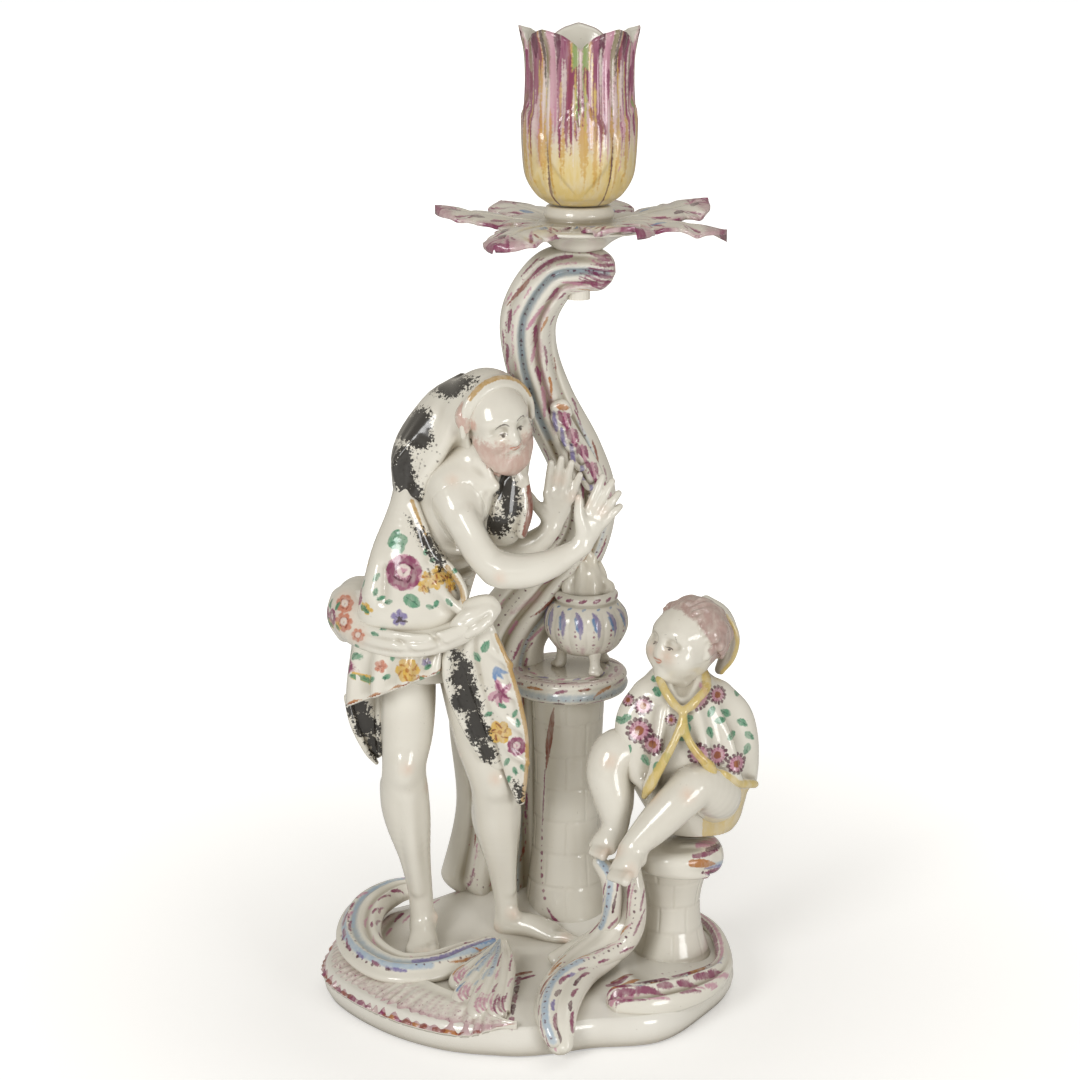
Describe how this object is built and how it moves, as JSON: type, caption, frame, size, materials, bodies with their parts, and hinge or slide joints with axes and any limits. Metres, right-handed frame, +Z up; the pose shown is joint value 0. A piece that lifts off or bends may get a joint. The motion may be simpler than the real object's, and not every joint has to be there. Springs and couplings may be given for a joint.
{
  "type": "figural candlestick",
  "caption": "Porcelain candlestick group: a cloaked old man warms his hands at a brazier beside a seated child, under a scroll stem with a leafy drip pan and tulip nozzle.",
  "frame": {"origin": "middle of the whole object's footprint, on the surface that it stands on", "axes": "+Z up, -Y towards the viewer of the picture, +X to that viewer's right"},
  "size_m": [0.1344, 0.113, 0.3],
  "materials": {
    "white": "gloss",
    "scrollwork": "gloss",
    "leafwork": "gloss",
    "tulip": "gloss",
    "flesh": "gloss",
    "fur": "gloss",
    "cloth": "gloss",
    "cape": "gloss",
    "ribbon": "gloss",
    "shell": "gloss"
  },
  "bodies": {
    "figure_group": {"base_mound": "white", "scroll_stem": "scrollwork", "stem_leaf": "leafwork", "brick_pillar": "white", "pillar_table": "scrollwork", "brazier_pot": "leafwork", "brazier_foot_1": "white", "brazier_foot_2": "white", "brazier_foot_3": "white", "brazier_flames": "white", "child_plinth": "white", "plinth_ledge": "scrollwork", "base_front_ribbon": "scrollwork", "base_left_scroll": "scrollwork", "base_fan_scroll": "leafwork", "base_shell_edge": "shell", "base_right_rim": "leafwork", "man_torso": "flesh", "man_head": "flesh", "man_near_arm": "flesh", "man_far_arm": "flesh", "man_right_leg": "flesh", "man_left_leg": "flesh", "cloak_hood": "fur", "cloak_far_fall": "fur", "cloak_waist_roll": "cloth", "cloak_front": "cloth", "cloak_knot": "cloth", "cloak_hip_drape": "cloth", "cloak_tail": "cloth", "cloak_corner_flap": "fur", "child_torso": "flesh", "child_head": "flesh", "child_cap": "ribbon", "child_near_leg": "flesh", "child_far_leg": "flesh", "child_cape": "cape"},
    "drip_pan": {"drip_pan": "leafwork"},
    "nozzle": {"tulip_nozzle": "tulip", "nozzle_peg": "white"}
  },
  "joints": [
    {"name": "pan_turn", "type": "hinge", "parent": "figure_group", "child": "drip_pan", "pos_m": [0.01244, 0.00895, 0.234], "axis": [0, 0, 1], "continuous": true},
    {"name": "nozzle_lift", "type": "slide", "parent": "drip_pan", "child": "nozzle", "axis": [0, 0, 1], "range_m": [0, 0.03]}
  ]
}
